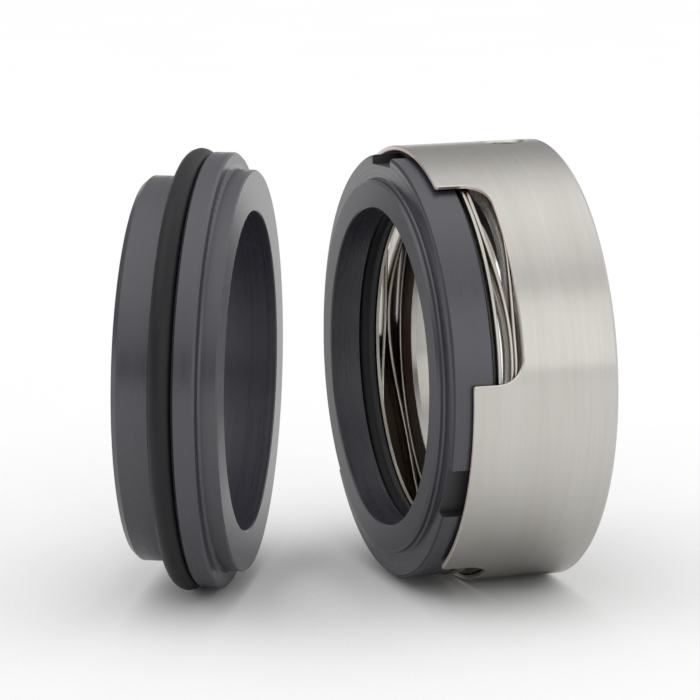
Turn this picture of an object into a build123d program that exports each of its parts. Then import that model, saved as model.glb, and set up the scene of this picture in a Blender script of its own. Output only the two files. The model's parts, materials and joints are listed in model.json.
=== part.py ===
from build123d import *
import math
import os

# Component mechanical seal for a rotating shaft: a stationary seat and a rotary head.
# Millimetres, +Z up. The head's shaft axis is the X axis, nose towards -X, and the origin is
# where that axis meets the plane of the two set screws. The seat stands beside the head on
# its own rim, turned about Z, so that the two lapped faces look at each other across a wedge.
# Each half is worked out in its own stations: millimetres behind its lapped face.
# Angles round an axis are degrees from the top, positive towards the front (-Y).

os.makedirs("parts", exist_ok=True)

# ---- shaft ----
shaft_d = 40.0
hub_clearance = 0.02          # radial, collar hub on the shaft
ring_clearance = 0.3          # radial, ceramic rings round the shaft
edge_break = 0.15             # bevel that keeps a ceramic edge from chipping

# ---- drive collar: a turned sleeve with a thick hub at the rear ----
hub_wall = 8.0                # shaft to the collar's outside, before clearance
collar_wall = 0.6
collar_l = 18.9
hub_l = 11.1
collar_chamfer = 0.4
hub_bore_chamfer = 0.5
window_count = 3
window_angle = 58.0
window_depth = 6.5
window_corner_r = 3.2
tab_corner_r = 0.4
cut_edge_break = 0.12         # bevel round the windows and tabs, outside and inside
first_tab_angle = -4.5        # middle of the first tab between two windows

# ---- drive keys inside the tabs, in notches of the face ring ----
key_w = 6.4
key_l = 1.0
key_inset = 1.2               # collar's front edge to the key
key_side_clearance = 0.4
key_tip_clearance = 0.4
key_stop_gap = 0.05
key_root = 0.3                # how far the key runs into the collar wall

# ---- rotary face ring ----
face_w = 3.2
face_bevel_w = 0.3
face_bevel_l = 0.35
nose_l = 1.0
nose_fillet = 0.3
ring_l = 6.4
ring_exposed = 3.4            # lapped face to the collar's front edge
ring_collar_clearance = 0.4
ring_chamfer = 0.3
notch_depth = 1.4
notch_corner_r = 0.6

# ---- O-ring on the shaft, in the face ring's counterbore ----
shaft_cord = 2.4
cord_shaft_clearance = 0.05
cord_clearance = 0.1

# ---- thrust ring and wave spring behind the face ring ----
thrust_t = 0.4
thrust_bore_clearance = 0.7
thrust_collar_clearance = 2.0
spring_t = 0.45
spring_w = 3.2
spring_collar_clearance = 0.25
spring_end_gap = 0.04
spring_turn_gap = 0.06
waved_turns = 2               # between one flat turn in front and one behind
waves_per_turn = 4.5
spring_start_angle = -115.0
spring_points_per_turn = 45

# ---- set screws in the hub ----
screw_d = 5.0
screw_l = 6.0
screw_hex = 2.5
screw_hex_depth = 2.4
screw_point_d = 2.6
screw_point_l = 0.8
screw_hole_clearance = 0.05
screw_hole_chamfer = 0.4
screw_from_rear = 5.0
screw_inset = 1.2             # below the collar's surface, backed off from the shaft
screw_angles = (-4.5, 162.0)

# ---- stationary seat ----
seat_face_w = 5.2
seat_nose_l = 2.5
seat_nose_fillet = 0.45
seat_face_bevel = 0.2
flange_d = 55.3
flange_l = 2.9
flange_chamfer = 0.3
o_ring_land_d = 50.0
o_ring_land_l = 3.3
spigot_d = 49.0
spigot_l = 4.8
spigot_chamfer_l = 0.7
spigot_chamfer_h = 0.6
slot_w = 4.4
slot_depth = 4.8
slot_floor_w = 1.6            # ceramic left between the bore and the slot
slot_angle = 90.0
seat_cord = 3.1
seat_cord_clearance = 0.02

# ---- how the two halves stand ----
seat_yaw = 26.0
seat_gap = 16.4               # between the centres of the two lapped faces
seat_offset = 1.7             # sideways, towards the back if positive

# ---- worked out ----
shaft_r = shaft_d / 2
collar_r = shaft_r + hub_wall
collar_in_r = collar_r - collar_wall
ring_bore_r = shaft_r + ring_clearance
face_r = ring_bore_r + face_w
nose_r = face_r + face_bevel_w
body_r = collar_in_r - ring_collar_clearance
notch_floor_r = body_r - notch_depth
collar_front = ring_exposed
collar_rear = collar_front + collar_l
hub_front = collar_rear - hub_l
screw_plane = collar_rear - screw_from_rear
key_front = collar_front + key_inset
key_rear = key_front + key_l
notch_rear = key_rear + key_stop_gap
notch_w = key_w + 2 * key_side_clearance
counterbore_l = shaft_cord + cord_clearance
counterbore_r = shaft_r + cord_shaft_clearance + shaft_cord + cord_clearance
thrust_rear = ring_l + thrust_t
spring_front = thrust_rear + spring_end_gap
spring_h = hub_front - spring_end_gap - spring_front
tab_pitch = 360 / window_count


def turned(points):
    """A ring turned about the X axis from a half section of (x, radius) points."""
    return revolve(make_face(Polyline(*points, close=True)), Axis.X, 360)


def arc_block(x0, x1, r0, r1, angle, middle):
    """A block between two stations and two radii, running angle degrees round X."""
    section = make_face(Polyline((x0, r0), (x1, r0), (x1, r1), (x0, r1), close=True))
    return at_angle(revolve(section, Axis.X, angle), middle - angle / 2, from_y=True)


def at_angle(shape, angle, from_y=False):
    """Turn a shape about X until what was at the top (or at +Y) is at the angle."""
    return shape.rotate(Axis.X, angle + (90 if from_y else 0))


def radius_at(point):
    """How far a point lies from the X axis."""
    return math.hypot(point.Y, point.Z)


def at_centre(x, radius, cord):
    """An O-ring: a round cord of the given section bent to a circle about X."""
    return revolve(Plane.XY * Pos(x, radius) * Circle(cord / 2), Axis.X, 360)


def face_ring():
    """Rotary ring: lapped face on a short nose, a body with notches, a counterbore."""
    bore = ring_bore_r
    ring = turned([
        (0, bore + edge_break), (0, face_r), (face_bevel_l, nose_r),
        (nose_l, nose_r), (nose_l, body_r - ring_chamfer), (nose_l + ring_chamfer, body_r),
        (ring_l - ring_chamfer, body_r), (ring_l, body_r - ring_chamfer),
        (ring_l, counterbore_r), (ring_l - counterbore_l, counterbore_r),
        (ring_l - counterbore_l, bore), (edge_break, bore),
    ])
    root = ring.edges().filter_by(GeomType.CIRCLE).filter_by(
        lambda e: abs(e.radius - nose_r) < 1e-6 and abs(e.center().X - nose_l) < 1e-6)
    ring = fillet(root, nose_fillet)
    notch = Pos(notch_rear / 2, 0, (notch_floor_r + collar_r) / 2) * Box(
        notch_rear, notch_w, collar_r - notch_floor_r)
    rear_corners = notch.edges().filter_by(Axis.Z).sort_by(Axis.X)[-2:]
    notch = fillet(rear_corners, notch_corner_r)
    for i in range(window_count):
        ring -= at_angle(notch, first_tab_angle + i * tab_pitch)
    return ring


def drive_collar():
    """Sleeve with three open windows and three tabs, hub bored for the shaft, screw holes."""
    bore = shaft_r + hub_clearance
    collar = turned([
        (collar_front, collar_in_r), (collar_front, collar_r),
        (collar_rear - collar_chamfer, collar_r), (collar_rear, collar_r - collar_chamfer),
        (collar_rear, bore + hub_bore_chamfer), (collar_rear - hub_bore_chamfer, bore),
        (hub_front + hub_bore_chamfer, bore), (hub_front, bore + hub_bore_chamfer),
        (hub_front, collar_in_r),
    ])
    key_angle = math.degrees(key_w / body_r)
    for i in range(window_count):
        tab = first_tab_angle + i * tab_pitch
        window = arc_block(collar_front - window_depth, collar_front + window_depth,
                           collar_in_r - collar_wall / 2, collar_r + collar_wall,
                           window_angle, tab + tab_pitch / 2)
        corners = window.edges().filter_by(GeomType.LINE).filter_by(
            lambda e: abs(e.center().X - collar_front - window_depth) < 1e-6)
        collar -= fillet(corners, window_corner_r)
    tips = collar.edges().filter_by(GeomType.LINE).filter_by(
        lambda e: abs(e.center().X - collar_front) < 1e-6)
    collar = fillet(tips, tab_corner_r)
    rims = collar.edges().filter_by(
        lambda e: e.bounding_box().max.X < collar_front + window_depth + 1e-3
        and abs(radius_at(e @ 0) - radius_at(e @ 1)) < 1e-3)
    collar = chamfer(rims, cut_edge_break)
    for i in range(window_count):
        collar += arc_block(key_front, key_rear, notch_floor_r + key_tip_clearance,
                            collar_in_r + key_root, key_angle, first_tab_angle + i * tab_pitch)
    hole_r = screw_d / 2 + screw_hole_clearance
    drill = Cylinder(hole_r, collar_r, align=(Align.CENTER, Align.CENTER, Align.MIN))
    drill += Pos(0, 0, collar_r - screw_hole_chamfer) * Cone(
        hole_r, hole_r + 2 * screw_hole_chamfer, 2 * screw_hole_chamfer,
        align=(Align.CENTER, Align.CENTER, Align.MIN))
    for angle in screw_angles:
        collar -= at_angle(Pos(screw_plane, 0, 0) * drill, angle)
    return collar


def set_screw(angle):
    """Hex socket set screw with a cone point, backed off from the shaft."""
    tip = collar_r - screw_inset - screw_l
    screw = revolve(make_face(Plane.XZ * Polyline(
        (0, tip), (screw_point_d / 2, tip), (screw_d / 2, tip + screw_point_l),
        (screw_d / 2, tip + screw_l - screw_hole_chamfer),
        (screw_d / 2 - screw_hole_chamfer, tip + screw_l), (0, tip + screw_l), close=True)),
        Axis.Z, 360)
    socket = extrude(RegularPolygon(screw_hex / 2, 6, major_radius=False), screw_hex_depth)
    screw -= Pos(0, 0, tip + screw_l - screw_hex_depth) * socket
    return at_angle(Pos(screw_plane, 0, 0) * screw, angle)


def thrust_ring():
    """Flat washer that carries the spring's load on to the face ring."""
    return turned([
        (ring_l, shaft_r + thrust_bore_clearance),
        (thrust_rear, shaft_r + thrust_bore_clearance),
        (thrust_rear, collar_in_r - thrust_collar_clearance),
        (ring_l, collar_in_r - thrust_collar_clearance),
    ])


def wave_spring():
    """Flat wire wound edgewise: a flat turn at each end and waved turns between them.

    Turns are counted from the front end of the wire. Over the waved turns the wire's front
    face stands amplitude * (1 - cos(waves * angle)) behind the level of its turn; with half
    a wave over in each turn, crests meet the next turn's troughs. The level moves back over
    half a wave's length: by one wire and a gap up to the first waved turn, and by a wave's
    height more at the start of every later one.
    """
    step = spring_t + spring_turn_gap
    amplitude = (spring_h - spring_t - (waved_turns + 1) * step) / (2 * waved_turns)
    half_wave = 0.5 / waves_per_turn

    def wave(turns):
        waved = min(max(turns - 1, 0.0), waved_turns)
        return amplitude * (1 - math.cos(2 * math.pi * waves_per_turn * waved))

    rises = [(1 - half_wave, step)]
    rises += [(turn, 2 * amplitude + step) for turn in range(2, waved_turns + 1)]
    rises += [(waved_turns + 1, 2 * amplitude + step - wave(waved_turns + 1))]
    outer_r = collar_in_r - spring_collar_clearance
    inner_r = outer_r - spring_w
    count = (waved_turns + 2) * spring_points_per_turn

    def edge(radius, lift):
        points = []
        for i in range(count + 1):
            turns = i / spring_points_per_turn
            level = 0.0
            for start, rise in rises:
                share = min(max((turns - start) / half_wave, 0.0), 1.0)
                level += rise * share * share * (3 - 2 * share)
            round_x = math.radians(spring_start_angle + 360 * turns)
            points.append((spring_front + level + wave(turns) + lift,
                           -radius * math.sin(round_x), radius * math.cos(round_x)))
        return Edge.make_spline(points)

    inner, outer = edge(inner_r, 0), edge(outer_r, 0)
    inner_back, outer_back = edge(inner_r, spring_t), edge(outer_r, spring_t)
    sides = [Face.make_surface_from_curves(a, b) for a, b in (
        (inner, outer), (outer, outer_back), (outer_back, inner_back), (inner_back, inner))]
    ends = [Face(Wire.make_polygon([e @ t for e in (inner, outer, outer_back, inner_back)]))
            for t in (0, 1)]
    return Solid(Shell(sides + ends))


def seat_ring():
    """Stationary ring: lapped face on a nose, flange, O-ring land, spigot with a pin slot."""
    bore = ring_bore_r
    flange_front = seat_nose_l
    flange_rear = flange_front + flange_l
    spigot_front = flange_rear + o_ring_land_l
    back = spigot_front + spigot_l
    nose = bore + seat_face_w
    ring = turned([
        (0, bore + edge_break), (0, nose - seat_face_bevel), (seat_face_bevel, nose),
        (flange_front, nose), (flange_front, flange_d / 2 - flange_chamfer),
        (flange_front + flange_chamfer, flange_d / 2),
        (flange_rear - flange_chamfer, flange_d / 2),
        (flange_rear, flange_d / 2 - flange_chamfer), (flange_rear, o_ring_land_d / 2),
        (spigot_front, o_ring_land_d / 2), (spigot_front, spigot_d / 2),
        (back - spigot_chamfer_l, spigot_d / 2), (back, spigot_d / 2 - spigot_chamfer_h),
        (back, bore + edge_break), (back - edge_break, bore), (edge_break, bore),
    ])
    root = ring.edges().filter_by(GeomType.CIRCLE).filter_by(
        lambda e: abs(e.radius - nose) < 1e-6 and abs(e.center().X - flange_front) < 1e-6)
    ring = fillet(root, seat_nose_fillet)
    slot_floor = bore + slot_floor_w
    slot = Pos(back - slot_depth / 2, 0, slot_floor + flange_d / 2) * Box(
        slot_depth, slot_w, flange_d)
    return ring - at_angle(slot, slot_angle)


def seat_o_ring():
    """Rubber ring pushed against the flange on the seat's land."""
    middle = seat_nose_l + flange_l + seat_cord_clearance + seat_cord / 2
    return at_centre(middle, o_ring_land_d / 2 + seat_cord_clearance + seat_cord / 2, seat_cord)


def placed_seat(shape):
    """From the seat's own axis (face at 0, back towards +X) to where the seat stands."""
    seat_height = (o_ring_land_d / 2 + seat_cord_clearance + seat_cord) - collar_r
    return Pos(-seat_gap, seat_offset, seat_height) * Rot(0, 0, 180 - seat_yaw) * shape


def shaft_o_ring():
    """Rubber ring that seals the face ring to the shaft."""
    return at_centre(ring_l - counterbore_l / 2,
                     shaft_r + cord_shaft_clearance + shaft_cord / 2, shaft_cord)


nodes = {
    "seat_ring": placed_seat(seat_ring()),
    "seat_o_ring": placed_seat(seat_o_ring()),
    "seal_face_ring": face_ring(),
    "shaft_o_ring": shaft_o_ring(),
    "thrust_ring": thrust_ring(),
    "wave_spring": wave_spring(),
    "drive_collar": drive_collar(),
}
for number, angle in enumerate(screw_angles, 1):
    nodes[f"set_screw_{number}"] = set_screw(angle)
for name, shape in nodes.items():
    shape = Pos(-screw_plane, 0, 0) * shape
    export_step(shape, f"parts/{name}.step")
    box = shape.bounding_box()
    print(f"{name:16s} volume {shape.volume:9.1f}  x {box.min.X:7.2f} to {box.max.X:7.2f}"
          f"  z {box.min.Z:7.2f}")
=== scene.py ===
import json
import math

import bpy
import numpy as np
from mathutils import Matrix, Vector


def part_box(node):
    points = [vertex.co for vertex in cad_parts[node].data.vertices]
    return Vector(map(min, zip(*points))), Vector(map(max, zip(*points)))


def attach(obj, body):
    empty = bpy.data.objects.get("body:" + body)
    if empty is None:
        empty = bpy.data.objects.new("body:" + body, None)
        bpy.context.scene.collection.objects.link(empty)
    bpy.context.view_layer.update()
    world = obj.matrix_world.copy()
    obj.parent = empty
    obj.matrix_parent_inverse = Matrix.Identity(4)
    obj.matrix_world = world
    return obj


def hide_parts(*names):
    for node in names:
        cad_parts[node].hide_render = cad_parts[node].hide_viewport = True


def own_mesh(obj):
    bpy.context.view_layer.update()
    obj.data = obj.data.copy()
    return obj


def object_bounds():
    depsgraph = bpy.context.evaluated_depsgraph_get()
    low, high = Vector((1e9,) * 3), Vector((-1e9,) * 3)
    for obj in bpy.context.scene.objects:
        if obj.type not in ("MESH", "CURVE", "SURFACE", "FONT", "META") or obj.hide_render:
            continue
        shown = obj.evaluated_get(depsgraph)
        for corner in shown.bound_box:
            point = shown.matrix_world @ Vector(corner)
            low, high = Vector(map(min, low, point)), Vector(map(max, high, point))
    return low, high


# Component mechanical seal for a 40 mm shaft: a stationary seat and a rotary head.
# Metres. The head's shaft axis is the X axis; the seat stands beside it on its own axis.

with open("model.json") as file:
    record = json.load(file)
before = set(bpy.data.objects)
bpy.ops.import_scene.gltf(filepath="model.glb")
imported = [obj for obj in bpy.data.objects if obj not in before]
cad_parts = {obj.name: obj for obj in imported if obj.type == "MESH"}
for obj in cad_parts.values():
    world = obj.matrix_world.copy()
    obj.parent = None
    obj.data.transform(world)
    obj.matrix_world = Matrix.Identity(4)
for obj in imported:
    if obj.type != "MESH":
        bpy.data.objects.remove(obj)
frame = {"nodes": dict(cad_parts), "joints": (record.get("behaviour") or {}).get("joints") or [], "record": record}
cad_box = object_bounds()


# ---------------------------------------------------------------- stationary seat ring
# A ring of sintered silicon carbide that is pressed into the pump's cover and stands still.
# It is turned green, fired, ground all over, and its nose is lapped flat to a dull mirror.

MM = 0.001
nodes = frame["nodes"]
mounts = {mount["name"]: mount for mount in frame["record"]["mounts"]}


def linear(hex_colour):
    """An sRGB hex colour as linear red, green and blue, with an alpha of 1."""
    channels = [int(hex_colour[i:i + 2], 16) / 255 for i in (1, 3, 5)]
    curve = [c / 12.92 if c <= 0.04045 else ((c + 0.055) / 1.055) ** 2.4 for c in channels]
    return (*curve, 1.0)


def add(tree, kind, inputs=None, **settings):
    """Adds one node. An input that is given a socket is linked, any other is set."""
    node = tree.nodes.new(kind)
    for name, value in settings.items():
        setattr(node, name, value)
    for name, value in (inputs or {}).items():
        if isinstance(value, bpy.types.NodeSocket):
            tree.links.new(value, node.inputs[name])
        else:
            node.inputs[name].default_value = value
    return node


def new_finish(name):
    """A material with an empty node tree; returns the material and the tree."""
    material = bpy.data.materials.new(name)
    material.use_nodes = True
    material.node_tree.nodes.clear()
    return material, material.node_tree


def lathe_space(tree, centre=(0, 0, 0), turn=0.0):
    """A point's place in a turned piece's own space. It gives the place's three parts, with X
    along the piece's axis, its distance from that axis, and the place itself. The axis passes
    through centre and is turned about Z by the given angle from X."""
    point = add(tree, "ShaderNodeTexCoord").outputs["Object"]
    place = add(tree, "ShaderNodeMapping", {
        "Vector": point, "Location": centre, "Rotation": (0, 0, turn)},
        vector_type="TEXTURE").outputs["Vector"]
    parts = add(tree, "ShaderNodeSeparateXYZ", {"Vector": place}).outputs
    across = add(tree, "ShaderNodeCombineXYZ", {"Y": parts["Y"], "Z": parts["Z"]})
    radius = add(tree, "ShaderNodeVectorMath", {0: across.outputs["Vector"]},
                 operation="LENGTH").outputs["Value"]
    return parts, radius, place


def tool_marks(tree, parts, radius, pitch, reach):
    """Noise in rings: it changes within one pitch along the axis or outwards, and only over the
    reach, in metres, round the piece, as the feed of a wheel or a tool leaves it."""
    along = add(tree, "ShaderNodeMath", {0: parts["X"], 1: 1 / pitch}, operation="MULTIPLY")
    out = add(tree, "ShaderNodeMath", {0: radius, 1: 1 / pitch}, operation="MULTIPLY")
    side = add(tree, "ShaderNodeMath", {0: parts["Y"], 1: parts["Z"]}, operation="ADD")
    round_it = add(tree, "ShaderNodeMath", {0: side.outputs[0], 1: 1 / reach},
                   operation="MULTIPLY")
    grid = add(tree, "ShaderNodeCombineXYZ", {
        "X": along.outputs[0], "Y": out.outputs[0], "Z": round_it.outputs[0]})
    return add(tree, "ShaderNodeTexNoise", {
        "Vector": grid.outputs["Vector"], "Scale": 1.0, "Detail": 3.0,
        "Roughness": 0.6}).outputs["Fac"]


CARBIDE = "#2E2D37"            # sintered silicon carbide, dark slate
CARBIDE_PALE = "#3C3B46"       # where the wheel has burnished the grains
CARBIDE_NOTCH_SHADE = "#0D0C10"      # painted shade: near black in the notches, for the shadow that falls in them
CARBIDE_IOR = 1.75             # the crystal's is 2.65; pores and grain scatter half its mirror
GROUND_SMOOTH = 0.24           # roughness of the finest wheel marks
GROUND_DULL = 0.34             # and of the coarsest
SEAT_LAPPED = 0.24             # the wide seat is lapped finest, so that it runs flat
FIRED_ROUGHNESS = 0.6
LAPPED_DEPTH = 0.03 * MM       # how far behind the lapped plane the finish reaches
WHEEL_PITCH = 0.45 * MM        # wheel marks are finer; drawn this coarse so that they show
WHEEL_REACH = 30 * MM
WHEEL_DEPTH = 0.0007 * MM
LAPPED_RELIEF = 0.1            # share of the wheel's depth that lapping leaves
GRAIN_CLOUD = 5 * MM
NOISE_LOW = 0.3                # a noise seldom leaves the range between these two
NOISE_HIGH = 0.7


def silicon_carbide(name, centre, turn, face_station, lapped_roughness, slots=(0, 0, 0)):
    """Ground silicon carbide with a lapped face: a hard grey sheen over a black body. Its high
    index makes it mirror pale things at a low angle, more sharply on the lapped plane at the
    face's station. Slots that were pressed in before firing keep a dull fired skin, and their
    colour is painted near black as painted shade, for the shadow in them: they lie behind a
    station, over their root's radius and under their rim's."""
    finish, tree = new_finish(name)
    parts, radius, place = lathe_space(tree, centre, turn)
    marks = tool_marks(tree, parts, radius, WHEEL_PITCH, WHEEL_REACH)
    cloud = add(tree, "ShaderNodeTexNoise", {
        "Vector": place, "Scale": 1 / GRAIN_CLOUD, "Detail": 4.0, "Roughness": 0.65})
    behind = add(tree, "ShaderNodeMath", {0: parts["X"], 1: face_station}, operation="SUBTRACT")
    lapped = add(tree, "ShaderNodeMath", {0: behind.outputs[0], 1: LAPPED_DEPTH},
                 operation="LESS_THAN").outputs[0]
    burnished = add(tree, "ShaderNodeMath", {0: marks, 1: cloud.outputs["Fac"]},
                    operation="MULTIPLY").outputs[0]
    # painted shade: in the notches the colour goes near black; the roughness there is the fired skin's
    front, root, rim = slots
    past_front = add(tree, "ShaderNodeMath", {0: parts["X"], 1: front},
                     operation="GREATER_THAN")
    over_root = add(tree, "ShaderNodeMath", {0: radius, 1: root}, operation="GREATER_THAN")
    under_rim = add(tree, "ShaderNodeMath", {0: radius, 1: rim}, operation="LESS_THAN")
    in_slots = add(tree, "ShaderNodeMath", {0: over_root.outputs[0], 1: under_rim.outputs[0]},
                   operation="MULTIPLY")
    fired_skin_and_shade = add(tree, "ShaderNodeMath", {0: in_slots.outputs[0], 1: past_front.outputs[0]},
                operation="MULTIPLY").outputs[0]
    ground = add(tree, "ShaderNodeMix", {
        "Factor": burnished, "A": linear(CARBIDE), "B": linear(CARBIDE_PALE)},
        data_type="RGBA")
    colour = add(tree, "ShaderNodeMix", {
        "Factor": fired_skin_and_shade, "A": ground.outputs["Result"], "B": linear(CARBIDE_NOTCH_SHADE)},
        data_type="RGBA")
    wheel = add(tree, "ShaderNodeMapRange", {
        "Value": marks, "From Min": NOISE_LOW, "From Max": NOISE_HIGH,
        "To Min": GROUND_SMOOTH, "To Max": GROUND_DULL})
    unlapped = add(tree, "ShaderNodeMix", {
        "Factor": fired_skin_and_shade, "A": wheel.outputs["Result"], "B": FIRED_ROUGHNESS})
    roughness = add(tree, "ShaderNodeMix", {
        "Factor": lapped, "A": unlapped.outputs["Result"], "B": lapped_roughness})
    relief = add(tree, "ShaderNodeMapRange", {
        "Value": lapped, "To Min": 1.0, "To Max": LAPPED_RELIEF})
    bump = add(tree, "ShaderNodeBump", {
        "Height": marks, "Strength": relief.outputs["Result"], "Distance": WHEEL_DEPTH})
    shader = add(tree, "ShaderNodeBsdfPrincipled", {
        "Base Color": colour.outputs["Result"], "Roughness": roughness.outputs["Result"],
        "Normal": bump.outputs["Normal"], "IOR": CARBIDE_IOR})
    add(tree, "ShaderNodeOutputMaterial", {"Surface": shader.outputs["BSDF"]})
    return finish


def dress(node, finish):
    """Gives a solid of the frame its one finish."""
    node.data.materials.clear()
    node.data.materials.append(finish)


SEAT_EDGE = 0.15 * MM          # bevel between the bore and the lapped plane
seat_mount = mounts["seat_bore"]
seat_axis = Vector(seat_mount["axis"])
seat_middle = Vector(seat_mount["pos_m"])
seat_half = seat_mount["dims"]["length_mm"] * MM / 2
seat_turn = math.atan2(seat_axis.y, seat_axis.x)
seat_face = seat_middle - seat_axis * (seat_half + SEAT_EDGE)
dress(nodes["seat_ring"],
      silicon_carbide("ground_silicon_carbide_seat", seat_face, seat_turn, 0.0, SEAT_LAPPED))


# ------------------------------------------------------------------------ seat O-ring
# A moulded fluorocarbon ring that lies on the seat's land against its flange. It seals the
# seat in the cover and cushions it; a fine flash line runs round its inside and its outside.

def round_surface(name, grid, ring=False):
    """A smooth mesh over a grid of points. Its second direction closes on itself. Its first
    closes too if ring is set, and otherwise each end is filled with a fan to its middle point.
    It is turned inside out if its faces point towards its middle on the whole: the sum of
    each face's corner, from that middle, times the face's normal has to be positive."""
    rows, columns = grid.shape[:2]
    row = np.arange(rows if ring else rows - 1)[:, None]
    column = np.arange(columns)[None, :]
    after, beside = (row + 1) % rows, (column + 1) % columns
    corners = [row * columns + column, after * columns + column,
               after * columns + beside, row * columns + beside]
    quads = np.stack([c + 0 * row for c in corners], axis=-1).reshape(-1, 4)
    faces = quads.tolist()
    points = grid.reshape(-1, 3)
    if not ring:
        points = np.vstack([points, grid[0].mean(axis=0), grid[-1].mean(axis=0)])
        edge = np.arange(columns)
        first, last = rows * columns + 0 * edge, rows * columns + 1 + 0 * edge
        end = (rows - 1) * columns
        faces += np.stack([first, edge, (edge + 1) % columns], axis=-1).tolist()
        faces += np.stack([last, end + (edge + 1) % columns, end + edge], axis=-1).tolist()
    mesh = bpy.data.meshes.new(name)
    mesh.from_pydata(points.tolist(), [], faces)
    mesh.update()
    first_corner, second, _, fourth = points[quads.T]
    normals = np.cross(second - first_corner, fourth - first_corner)
    if ((first_corner - points.mean(axis=0)) * normals).sum() < 0:
        mesh.flip_normals()
    mesh.polygons.foreach_set("use_smooth", np.ones(len(faces), dtype=bool))
    piece = bpy.data.objects.new(name, mesh)
    bpy.context.scene.collection.objects.link(piece)
    return piece


def about_axis(along, outwards, angle, origin, axis):
    """Points at a distance along and outwards from an axis, at an angle round it from the top.
    All three may be arrays; the axis lies level."""
    up = np.array([0.0, 0.0, 1.0])
    axis = np.array(axis)
    side = np.cross(axis, up)
    across = np.sin(angle)[..., None] * side + np.cos(angle)[..., None] * up
    return np.array(origin) + along[..., None] * axis + outwards[..., None] * across


RING_STEPS = 256               # points round the ring
CORD_STEPS = 32                # and round its cord
FLASH_HEIGHT = 0.03 * MM
FLASH_WIDTH = 0.12             # radians of the cord's section


def moulded_ring(name, middle_radius, cord, centre, axis):
    """An O-ring: a circle of the cord's radius carried round the axis. Where the two halves of
    the mould meet, at the section's inside and outside, a flash stands up as a narrow bell
    curve of the angle round the section."""
    around, section = np.meshgrid(np.linspace(0, 2 * np.pi, RING_STEPS, endpoint=False),
                                  np.linspace(0, 2 * np.pi, CORD_STEPS, endpoint=False),
                                  indexing="ij")
    flash = np.exp(-(np.sin(section) / FLASH_WIDTH) ** 2)
    radius = cord / 2 - FLASH_HEIGHT * (1 - flash)
    return round_surface(name, about_axis(radius * np.sin(section),
                                          middle_radius + radius * np.cos(section),
                                          around, centre, axis), ring=True)


RUBBER = "#111113"             # carbon-filled fluorocarbon
RUBBER_BLOOM = "#1C1B20"
RUBBER_IOR = 1.38
RUBBER_SMOOTH = 0.41           # roughness where no bloom lies
RUBBER_DULL = 0.53
RUBBER_GRAIN = 0.35 * MM       # the mould's texture, drawn coarse enough to show
RUBBER_RELIEF = 0.004 * MM
BLOOM_CLOUD = 9 * MM


def fluorocarbon_rubber():
    """Moulded black rubber: a soft satin highlight over a grain too fine to feel, with a
    faint grey bloom in clouds."""
    finish, tree = new_finish("moulded_fluorocarbon_rubber")
    place = add(tree, "ShaderNodeTexCoord").outputs["Object"]
    grain = add(tree, "ShaderNodeTexNoise", {
        "Vector": place, "Scale": 1 / RUBBER_GRAIN, "Detail": 2.0})
    bloom = add(tree, "ShaderNodeTexNoise", {
        "Vector": place, "Scale": 1 / BLOOM_CLOUD, "Detail": 5.0, "Roughness": 0.6})
    colour = add(tree, "ShaderNodeMix", {
        "Factor": bloom.outputs["Fac"], "A": linear(RUBBER), "B": linear(RUBBER_BLOOM)},
        data_type="RGBA")
    roughness = add(tree, "ShaderNodeMapRange", {
        "Value": bloom.outputs["Fac"], "From Min": NOISE_LOW, "From Max": NOISE_HIGH,
        "To Min": RUBBER_SMOOTH, "To Max": RUBBER_DULL})
    bump = add(tree, "ShaderNodeBump", {"Height": grain.outputs["Fac"], "Strength": 1.0,
                                        "Distance": RUBBER_RELIEF})
    shader = add(tree, "ShaderNodeBsdfPrincipled", {
        "Base Color": colour.outputs["Result"], "Roughness": roughness.outputs["Result"],
        "Normal": bump.outputs["Normal"], "IOR": RUBBER_IOR})
    add(tree, "ShaderNodeOutputMaterial", {"Surface": shader.outputs["BSDF"]})
    return finish


rubber = fluorocarbon_rubber()


def finished(piece, finish, body, node):
    """A new piece gets its finish, rides on its body and stands for a solid of the frame."""
    piece.data.materials.append(finish)
    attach(piece, body)
    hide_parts(node)


SEAT_CORD = 3.1 * MM
low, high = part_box("seat_o_ring")
seat_o_ring = moulded_ring("moulded_seat_o_ring", (high.z - low.z) / 2 - SEAT_CORD / 2,
                           SEAT_CORD, (low + high) / 2, seat_axis)
finished(seat_o_ring, rubber, "seat", "seat_o_ring")


# ------------------------------------------------------------------- rotating face ring
# The head's silicon carbide ring. Its narrow nose is lapped to run against the seat, and three
# notches in its body take the drive keys of the collar. Made and finished as the seat is.

FACE_LAPPED = 0.42             # lapped dull, to hold a film of the pumped liquid
NOSE_LENGTH = 1.0 * MM
NOTCH_ROOT = 25.6 * MM         # radius of the notches' floors
SKIN = 0.05 * MM               # keeps the fired roughness and the painted shade of the notches off the ground faces round them
low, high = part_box("seal_face_ring")
notches = (low.x + NOSE_LENGTH + SKIN, NOTCH_ROOT - SKIN, high.z - SKIN)
dress(nodes["seal_face_ring"],
      silicon_carbide("ground_silicon_carbide_face", (0, 0, 0), 0.0, low.x, FACE_LAPPED,
                      notches))


# ------------------------------------------------------------------------ shaft O-ring
# The same rubber, in the face ring's counterbore. It grips the shaft, seals the ring to it
# and turns with it, and slides with the ring as the face wears.

SHAFT_CORD = 2.4 * MM
low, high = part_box("shaft_o_ring")
shaft_o_ring = moulded_ring("moulded_shaft_o_ring", high.z - SHAFT_CORD / 2, SHAFT_CORD,
                            (low + high) / 2, (1, 0, 0))
finished(shaft_o_ring, rubber, "face", "shaft_o_ring")


# ------------------------------------------------------------------------- thrust ring
# A flat stamped washer of stainless steel between the spring and the face ring. It spreads
# the spring's load; rolled sheet, so it is bright on its faces and torn on its edges.

SPRING_STEEL = "#D6D1CA"       # cold rolled and aged, a little straw from the oven
SPRING_SHADE = "#A39C93"
ROLLED_SMOOTH = 0.18
ROLLED_DULL = 0.34
ROLL_PITCH = 0.3 * MM
ROLL_REACH = 12 * MM
ROLL_DEPTH = 0.0012 * MM


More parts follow.
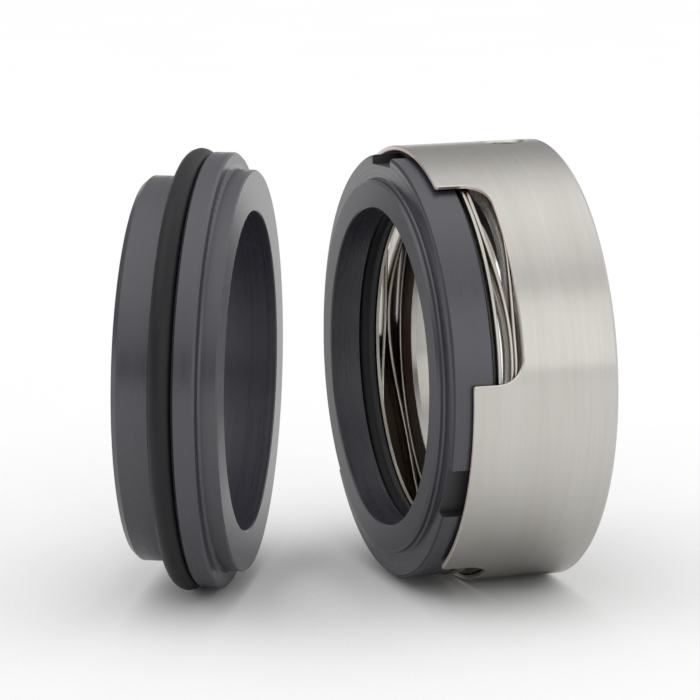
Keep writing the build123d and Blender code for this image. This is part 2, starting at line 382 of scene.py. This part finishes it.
def spring_steel():
    """Hard rolled stainless wire and sheet: bright, finely drawn out along its length, with
    darker straw streaks from ageing."""
    finish, tree = new_finish("aged_spring_stainless")
    parts, radius, _ = lathe_space(tree)
    marks = tool_marks(tree, parts, radius, ROLL_PITCH, ROLL_REACH)
    colour = add(tree, "ShaderNodeMix", {
        "Factor": marks, "A": linear(SPRING_STEEL), "B": linear(SPRING_SHADE)},
        data_type="RGBA")
    roughness = add(tree, "ShaderNodeMapRange", {
        "Value": marks, "From Min": NOISE_LOW, "From Max": NOISE_HIGH,
        "To Min": ROLLED_SMOOTH, "To Max": ROLLED_DULL})
    bump = add(tree, "ShaderNodeBump", {"Height": marks, "Strength": 1.0,
                                        "Distance": ROLL_DEPTH})
    shader = add(tree, "ShaderNodeBsdfPrincipled", {
        "Base Color": colour.outputs["Result"], "Roughness": roughness.outputs["Result"],
        "Normal": bump.outputs["Normal"], "Metallic": 1.0})
    add(tree, "ShaderNodeOutputMaterial", {"Surface": shader.outputs["BSDF"]})
    return finish


spring_finish = spring_steel()
dress(nodes["thrust_ring"], spring_finish)


# ------------------------------------------------------------------------- wave spring
# Flat stainless wire wound on edge: a flat turn at each end and two waved turns between, so
# that crests meet the next turn's troughs. It pushes the face ring against the seat.

WIRE_THICK = 0.45 * MM
WIRE_WIDE = 3.2 * MM
WAVED_TURNS = 2
WAVES_PER_TURN = 4.5
TURN_GAP = 0.06 * MM           # between a crest and the trough that it meets
START_ANGLE = -115.0           # degrees round the axis from the top, where the wire begins
WIRE_STEPS = 1440
EDGE_STEPS = 6                 # points on each rounded edge of the wire
EDGE_BULGE = 0.1 * MM


def wound_spring(name):
    """The wire's middle line winds round the axis. Over the waved turns it stands an amplitude
    times 1 - cos(waves * angle) behind its turn's level, and the level steps back over half a
    wave: by a wire and a gap up to the first waved turn, and by a wave's height more at the
    start of each later turn. The section is a flat strip whose two edges are half ellipses."""
    low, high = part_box("wave_spring")
    outer = max(high.z, -low.z, high.y, -low.y)
    step = WIRE_THICK + TURN_GAP
    amplitude = ((high.x - low.x) - WIRE_THICK - (WAVED_TURNS + 1) * step) / (2 * WAVED_TURNS)
    turns = np.linspace(0, WAVED_TURNS + 2, WIRE_STEPS)[:, None]
    starts = np.array([1 - 0.5 / WAVES_PER_TURN, *range(2, WAVED_TURNS + 2)])
    rises = np.array([step] + WAVED_TURNS * [2 * amplitude + step])
    share = np.clip((turns - starts) * 2 * WAVES_PER_TURN, 0, 1)
    level = (rises * share ** 2 * (3 - 2 * share)).sum(axis=1, keepdims=True)
    waved = np.clip(turns - 1, 0, WAVED_TURNS)
    wave = amplitude * (1 - np.cos(2 * np.pi * WAVES_PER_TURN * waved))
    bend = np.linspace(-np.pi / 2, np.pi / 2, EDGE_STEPS)
    half = WIRE_THICK / 2
    outwards = np.concatenate([outer - EDGE_BULGE + EDGE_BULGE * np.cos(bend),
                               outer - WIRE_WIDE + EDGE_BULGE - EDGE_BULGE * np.cos(bend)])
    lift = np.concatenate([half + half * np.sin(bend), half - half * np.sin(bend)])
    angle = -np.radians(START_ANGLE + 360 * turns)
    return round_surface(name, about_axis(low.x + level + wave + lift[None, :],
                                          outwards[None, :] + 0 * turns,
                                          angle + 0 * lift[None, :], (0, 0, 0), (1, 0, 0)))


joints = {joint["name"]: joint for joint in frame["joints"]}
wave_spring = wound_spring("wound_wave_spring")
finished(wave_spring, spring_finish, "collar", "wave_spring")
low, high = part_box("wave_spring")
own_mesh(wave_spring)


# ------------------------------------------------------------------------ drive collar
# Turned from one piece of stainless bar: a thin sleeve over the ring and the spring, with
# three windows milled through it, and a thick hub that the set screws lock to the shaft.

STEEL = "#CAC7C2"
STEEL_STREAK = "#C2BFB9"
CHAMBER_SHADE = "#5A4B42"            # painted shade: brown and dark inside the sleeve
CUT_EDGE_HIGHLIGHT = "#E6DAD3"           # painted highlight: the milled edges of the windows and tabs, pale and pinkish
TURNED_ROUGHNESS = 0.26
TURNED_ANISOTROPY = 0.92
CUT_ROUGHNESS = 0.45
FEED_PITCH = 0.5 * MM          # the tool's feed is finer; drawn this coarse so that it shows
BROAD_PITCH = 7 * FEED_PITCH   # slower changes, as the tool wears and is set again
BROAD_SHARE = 0.6
FEED_REACH = 28 * MM
FEED_DEPTH = 0.0012 * MM
STREAK_LOW = 0.35
STREAK_HIGH = 0.65
SLEEVE_OUTER = 27.98 * MM      # a hair inside the sleeve's outer skin
SLEEVE_INNER = 27.43 * MM      # a hair outside its bore
HUB_BORE = 20.6 * MM           # a hair outside the hub's bore
HUB_EDGE = 0.1 * MM            # a hair behind the hub's front
ACROSS_THE_GRAIN = 0.25        # a quarter turn: highlights stretch across the tool marks


def turned_stainless():
    """Fine-turned stainless: highlights stay sharp round the piece and smear along its axis.
    The milled edges are dull, and painted pale as a painted highlight; the chamber inside the
    sleeve is painted brown and dark as painted shade."""
    finish, tree = new_finish("fine_turned_stainless")
    parts, radius, _ = lathe_space(tree)
    marks = tool_marks(tree, parts, radius, FEED_PITCH, FEED_REACH)
    broad = tool_marks(tree, parts, radius, BROAD_PITCH, FEED_REACH)
    both = add(tree, "ShaderNodeMix", {"Factor": BROAD_SHARE, "A": marks, "B": broad})
    streaks = add(tree, "ShaderNodeMapRange", {
        "Value": both.outputs["Result"], "From Min": STREAK_LOW, "From Max": STREAK_HIGH})
    skin = add(tree, "ShaderNodeMix", {
        "Factor": streaks.outputs["Result"], "A": linear(STEEL), "B": linear(STEEL_STREAK)},
        data_type="RGBA")
    # painted highlight: under the sleeve's skin and in front of the hub the milled faces are painted pale; they
    # are rougher too
    under_skin = add(tree, "ShaderNodeMath", {0: radius, 1: SLEEVE_OUTER},
                     operation="LESS_THAN")
    hub_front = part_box("wave_spring")[1].x + HUB_EDGE
    in_sleeve = add(tree, "ShaderNodeMath", {0: parts["X"], 1: hub_front},
                    operation="LESS_THAN")
    milled_and_highlit = add(tree, "ShaderNodeMath", {0: under_skin.outputs[0], 1: in_sleeve.outputs[0]},
              operation="MULTIPLY")
    # painted shade: inside the sleeve, between the hub's bore and the sleeve's and in front of the hub, the colour
    # goes dark brown
    within = add(tree, "ShaderNodeMath", {0: radius, 1: SLEEVE_INNER}, operation="LESS_THAN")
    past_bore = add(tree, "ShaderNodeMath", {0: radius, 1: HUB_BORE},
                    operation="GREATER_THAN")
    inside = add(tree, "ShaderNodeMath", {0: within.outputs[0], 1: past_bore.outputs[0]},
                 operation="MULTIPLY")
    chamber_shade = add(tree, "ShaderNodeMath", {0: inside.outputs[0], 1: in_sleeve.outputs[0]},
                  operation="MULTIPLY")
    highlit_edges = add(tree, "ShaderNodeMix", {
        "Factor": milled_and_highlit.outputs[0], "A": skin.outputs["Result"], "B": linear(CUT_EDGE_HIGHLIGHT)},
        data_type="RGBA")
    colour = add(tree, "ShaderNodeMix", {
        "Factor": chamber_shade.outputs[0], "A": highlit_edges.outputs["Result"], "B": linear(CHAMBER_SHADE)},
        data_type="RGBA")
    roughness = add(tree, "ShaderNodeMapRange", {
        "Value": milled_and_highlit.outputs[0], "To Min": TURNED_ROUGHNESS, "To Max": CUT_ROUGHNESS})
    bump = add(tree, "ShaderNodeBump", {"Height": marks, "Strength": 1.0,
                                        "Distance": FEED_DEPTH})
    round_it = add(tree, "ShaderNodeTangent", direction_type="RADIAL", axis="X")
    shader = add(tree, "ShaderNodeBsdfPrincipled", {
        "Base Color": colour.outputs["Result"], "Roughness": roughness.outputs["Result"],
        "Normal": bump.outputs["Normal"], "Metallic": 1.0,
        "Anisotropic": TURNED_ANISOTROPY, "Anisotropic Rotation": ACROSS_THE_GRAIN,
        "Tangent": round_it.outputs["Tangent"]})
    add(tree, "ShaderNodeOutputMaterial", {"Surface": shader.outputs["BSDF"]})
    return finish


dress(nodes["drive_collar"], turned_stainless())


# -------------------------------------------------------------------------- set screws
# Two M5 socket set screws of hardened stainless in the hub. They are run in with a hex key
# until their points bite the shaft; here they are backed off a little.

SCREW_D = 5 * MM
SCREW_L = 6 * MM
SCREW_PITCH = 0.8 * MM
THREAD_DEPTH = 0.42 * MM
FLANK_RISE = 2.6               # thread depths that the uncut wave rises from root to crest
ROOT_CUT = 0.8                 # and how many of them are cut off at the root, as at the crest
POINT_D = 2.6 * MM
POINT_L = 0.8 * MM
HEX_FLATS = 2.5 * MM
HEX_DEPTH = 2.4 * MM
MOUTH_FLARE = 0.06             # of the hexagon's size, wider and as deep, where the key enters
DRILL_POINT = 0.2 * MM         # how much deeper the drilled middle of the socket's floor is
SCREW_CHAMFER = 0.4 * MM
AROUND_SCREW = 96
ALONG_SCREW = 150
CREASE = math.radians(35)      # faces that meet at more than this show an edge
SCREW_STEEL = "#8C8883"
SCREW_SHADE = "#6E6A66"
SCREW_SMOOTH = 0.26
SCREW_DULL = 0.46
SCREW_MOTTLE = 0.6 * MM


def threaded_screw(name, node, joint):
    """The surface runs from the point's middle up the flank and down into the socket. On the
    flank the radius follows a thread: a triangle wave, cut flat at crest and root, of the
    height less the angle's share of a pitch, kept under the chamfer at both ends. In the
    socket it is the distance to the hexagon's flats at that angle."""
    low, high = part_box(node)
    centre = np.array((low + high) / 2)
    out = np.array(joints[joint]["axis"])
    side = np.array([1.0, 0.0, 0.0])
    angle = np.linspace(0, 2 * np.pi, AROUND_SCREW, endpoint=False)[None, :]
    height = np.linspace(0, SCREW_L, ALONG_SCREW)[:, None]
    phase = (height / SCREW_PITCH - angle / (2 * np.pi)) % 1
    ridge = np.clip(FLANK_RISE * (1 - 2 * np.abs(phase - 0.5)) - ROOT_CUT, 0, 1)
    thread = SCREW_D / 2 - THREAD_DEPTH * (1 - ridge)
    point = POINT_D / 2 + (SCREW_D - POINT_D) / 2 * height / POINT_L
    top = SCREW_D / 2 - SCREW_CHAMFER + (SCREW_L - height)
    flank = np.minimum(np.minimum(thread, point), top)
    corner = (angle + np.pi / 6) % (np.pi / 3) - np.pi / 6
    hexagon = HEX_FLATS / 2 / np.cos(corner)
    mouth = (1 + MOUTH_FLARE) * hexagon
    radius = np.vstack([0.4 * flank[:1], flank, 0.5 * (flank[-1:] + mouth), mouth, hexagon,
                        hexagon, hexagon * 0.5])
    floor = SCREW_L - HEX_DEPTH
    stations = np.vstack([height[:1], height, height[-1:], height[-1:],
                          height[-1:] - MOUTH_FLARE * HEX_FLATS, [[floor]],
                          [[floor - DRILL_POINT]]])
    across = np.cos(angle)[..., None] * side + np.sin(angle)[..., None] * np.cross(out, side)
    grid = centre + (stations - SCREW_L / 2)[..., None] * out + radius[..., None] * across
    screw = round_surface(name, grid)
    screw.data.set_sharp_from_angle(angle=CREASE)
    return screw


def hardened_stainless():
    """Rolled thread and a broached socket: a darker, greyer steel than the collar's, dulled
    by hardening."""
    finish, tree = new_finish("hardened_screw_stainless")
    place = add(tree, "ShaderNodeTexCoord").outputs["Object"]
    mottle = add(tree, "ShaderNodeTexNoise", {
        "Vector": place, "Scale": 1 / SCREW_MOTTLE, "Detail": 3.0})
    colour = add(tree, "ShaderNodeMix", {
        "Factor": mottle.outputs["Fac"], "A": linear(SCREW_STEEL), "B": linear(SCREW_SHADE)},
        data_type="RGBA")
    roughness = add(tree, "ShaderNodeMapRange", {
        "Value": mottle.outputs["Fac"], "To Min": SCREW_SMOOTH, "To Max": SCREW_DULL})
    shader = add(tree, "ShaderNodeBsdfPrincipled", {
        "Base Color": colour.outputs["Result"], "Roughness": roughness.outputs["Result"],
        "Metallic": 1.0})
    add(tree, "ShaderNodeOutputMaterial", {"Surface": shader.outputs["BSDF"]})
    return finish


screw_finish = hardened_stainless()
for number in (1, 2):
    screw = threaded_screw(f"threaded_set_screw_{number}", f"set_screw_{number}",
                           f"screw_{number}_travel")
    finished(screw, screw_finish, f"screw_{number}", f"set_screw_{number}")


# ------------------------------------------------------------------- floor, light, camera
# A pale matt table top runs far back to a low wall. The room over it is a soft tent of light:
# brightest in front just above the wall, bright overhead, and dim behind and low on the left.

FLOOR_SIZE = 12.0
FLOOR_COLOUR = "#BEBEBE"
FLOOR_FLECK = "#BABABA"
FLECK_SIZE = 25 * MM
FLOOR_ROUGHNESS = 0.9
FLOOR_SHEEN = 0.1              # a fifth of what its index would mirror: it is dead matt
TO_WHITE = 0.47                # what the open table top lacks to white, where it is seen
SHADE_REACH = 250 * MM         # how far off a piece still takes some of that glow away
SHADE_RAYS = 4
floor_mesh = bpy.data.meshes.new("table_top")
reach = FLOOR_SIZE / 2
rest = cad_box[0][2]
floor_mesh.from_pydata([(-reach, -reach, rest), (reach, -reach, rest), (reach, reach, rest),
                        (-reach, reach, rest)], [], [(0, 1, 2, 3)])
floor = bpy.data.objects.new("table_top", floor_mesh)
bpy.context.scene.collection.objects.link(floor)
table, tree = new_finish("matt_white_laminate")
fleck = add(tree, "ShaderNodeTexNoise", {
    "Vector": add(tree, "ShaderNodeTexCoord").outputs["Object"], "Scale": 1 / FLECK_SIZE})
paint = add(tree, "ShaderNodeMix", {
    "Factor": fleck.outputs["Fac"], "A": linear(FLOOR_COLOUR), "B": linear(FLOOR_FLECK)},
    data_type="RGBA")
shader = add(tree, "ShaderNodeBsdfPrincipled", {
    "Base Color": paint.outputs["Result"], "Roughness": FLOOR_ROUGHNESS,
    "Specular IOR Level": FLOOR_SHEEN})
path = add(tree, "ShaderNodeLightPath").outputs
open_above = add(tree, "ShaderNodeAmbientOcclusion", {"Distance": SHADE_REACH},
                 samples=SHADE_RAYS).outputs["AO"]
# painted shade: the glow fades by the pieces' occlusion near them, once where it is seen and twice where it is
# mirrored
in_gloss = add(tree, "ShaderNodeMath", {0: path["Is Glossy Ray"],
                                        1: path["Is Transmission Ray"]}, operation="ADD")
mirrored = add(tree, "ShaderNodeMath", {0: in_gloss.outputs[0], 1: open_above},
               operation="MULTIPLY")
seen = add(tree, "ShaderNodeMath", {0: path["Is Camera Ray"], 1: mirrored.outputs[0]},
           operation="ADD")
lit = add(tree, "ShaderNodeMath", {0: seen.outputs[0], 1: open_above}, operation="MULTIPLY")
glow = add(tree, "ShaderNodeMath", {0: lit.outputs[0], 1: TO_WHITE}, operation="MULTIPLY")
white = add(tree, "ShaderNodeEmission", {"Strength": glow.outputs[0]})
both = add(tree, "ShaderNodeAddShader", {0: shader.outputs["BSDF"], 1: white.outputs[0]})
add(tree, "ShaderNodeOutputMaterial", {"Surface": both.outputs[0]})
floor_mesh.materials.append(table)

# How bright the room is towards a direction, by that direction's part along Y, from in front
# (-1) to behind (1), as a share of its brightest.
BRIGHTEST = 1.4
ROOM_SHARES = ((-1.0, 0.93), (-0.9, 0.92), (-0.82, 0.9), (-0.74, 0.96), (-0.66, 0.6),
               (-0.54, 0.58), (-0.4, 0.7), (0.0, 0.86), (0.25, 0.82), (0.5, 0.67),
               (0.72, 0.42), (1.0, 0.2))
WALL_LEVEL = 0.96              # of the white wall that runs round past the table's edge
WALL_TOP = 0.09                # as a direction's part along Z
WALL_SOFT = 0.01               # half the height over which its top edge fades
LEFT_DIM = 0.08                # at the horizon on the far left, of what the room has there
LEFT_HIGH = 1.25               # and high over the left
LEFT_BEGINS = -0.1             # as a direction's part along X
LEFT_FULL = -0.45
DIM_TOP = 0.8                  # as a direction's part along Z
room = bpy.data.worlds.new("room")
room.use_nodes = True
room.node_tree.nodes.clear()
tree = room.node_tree
direction = add(tree, "ShaderNodeSeparateXYZ", {
    "Vector": add(tree, "ShaderNodeTexCoord").outputs["Generated"]})
front_to_back = add(tree, "ShaderNodeMapRange", {
    "Value": direction.outputs["Y"], "From Min": -1.0, "From Max": 1.0})
levels = add(tree, "ShaderNodeValToRGB", {"Fac": front_to_back.outputs["Result"]})
levels.color_ramp.interpolation = "B_SPLINE"
stops = levels.color_ramp.elements
for _ in ROOM_SHARES[len(stops):]:
    stops.new(0.5)
for stop, (along, share) in zip(stops, ROOM_SHARES):
    stop.position = (along + 1) / 2
    stop.color = (share, share, share, 1)
leftness = add(tree, "ShaderNodeMapRange", {
    "Value": direction.outputs["X"], "From Min": LEFT_FULL, "From Max": LEFT_BEGINS,
    "To Min": 1.0, "To Max": 0.0}, interpolation_type="SMOOTHSTEP")
low_dim = add(tree, "ShaderNodeMapRange", {
    "Value": direction.outputs["Z"], "From Min": 0.0, "From Max": DIM_TOP,
    "To Min": BRIGHTEST * LEFT_DIM, "To Max": BRIGHTEST * LEFT_HIGH},
    interpolation_type="SMOOTHSTEP")
dimming = add(tree, "ShaderNodeMix", {
    "Factor": leftness.outputs["Result"], "A": BRIGHTEST, "B": low_dim.outputs["Result"]})
tent = add(tree, "ShaderNodeMath", {0: levels.outputs["Color"],
                                    1: dimming.outputs["Result"]}, operation="MULTIPLY")
wall = add(tree, "ShaderNodeMapRange", {
    "Value": direction.outputs["Z"], "From Min": WALL_TOP - WALL_SOFT,
    "From Max": WALL_TOP + WALL_SOFT, "To Min": 1.0, "To Max": 0.0})
around = add(tree, "ShaderNodeMix", {
    "Factor": wall.outputs["Result"], "A": tent.outputs[0], "B": WALL_LEVEL})
sky = add(tree, "ShaderNodeBackground", {
    "Color": (1, 1, 1, 1), "Strength": around.outputs["Result"]})
add(tree, "ShaderNodeOutputWorld", {"Surface": sky.outputs["Background"]})
bpy.context.scene.world = room

LAMP_SIZE = 0.5
LAMP_PLACE = (-0.1, 0.0, 0.9)
LAMP_POWER = 0.8
lamp = bpy.data.lights.new("overhead_softbox", "AREA")
lamp.shape = "SQUARE"
lamp.size = LAMP_SIZE
lamp.energy = LAMP_POWER
lamp_holder = bpy.data.objects.new("overhead_softbox", lamp)
lamp_holder.location = LAMP_PLACE
lamp_holder.visible_glossy = False     # in polished steel the tent alone is mirrored
bpy.context.scene.collection.objects.link(lamp_holder)

VIEW_SIDE = math.radians(-17.6)    # how far round from the front the camera stands
VIEW_RISE = math.radians(11.5)     # and how far up
DISTANCE = 0.641
LENS = 257.1                   # millimetres, as the sensor
SENSOR = 36.0
SIGHT = 50.0                   # how far the camera sees
AIM = Vector((-0.0063, 0, 0))  # a point on the shaft's axis, inside the head
AIM_LEFT = 0.01410             # how far to the left of that point the camera looks
AIM_UP = 0.00141               # and how far over it
back = Vector((math.sin(VIEW_SIDE) * math.cos(VIEW_RISE),
               -math.cos(VIEW_SIDE) * math.cos(VIEW_RISE), math.sin(VIEW_RISE)))
right = Vector((math.cos(VIEW_SIDE), math.sin(VIEW_SIDE), 0))
up = back.cross(right)
look_at = AIM - AIM_LEFT * right + AIM_UP * up
lens = bpy.data.cameras.new("camera")
lens.lens = LENS
lens.sensor_width = SENSOR
lens.clip_end = SIGHT
camera = bpy.data.objects.new("camera", lens)
stand = look_at + DISTANCE * back
camera.matrix_world = Matrix(((right.x, up.x, back.x, stand.x), (right.y, up.y, back.y, stand.y),
                              (right.z, up.z, back.z, stand.z), (0, 0, 0, 1)))
bpy.context.scene.collection.objects.link(camera)
bpy.context.scene.camera = camera
bpy.context.scene.view_settings.view_transform = "Standard"
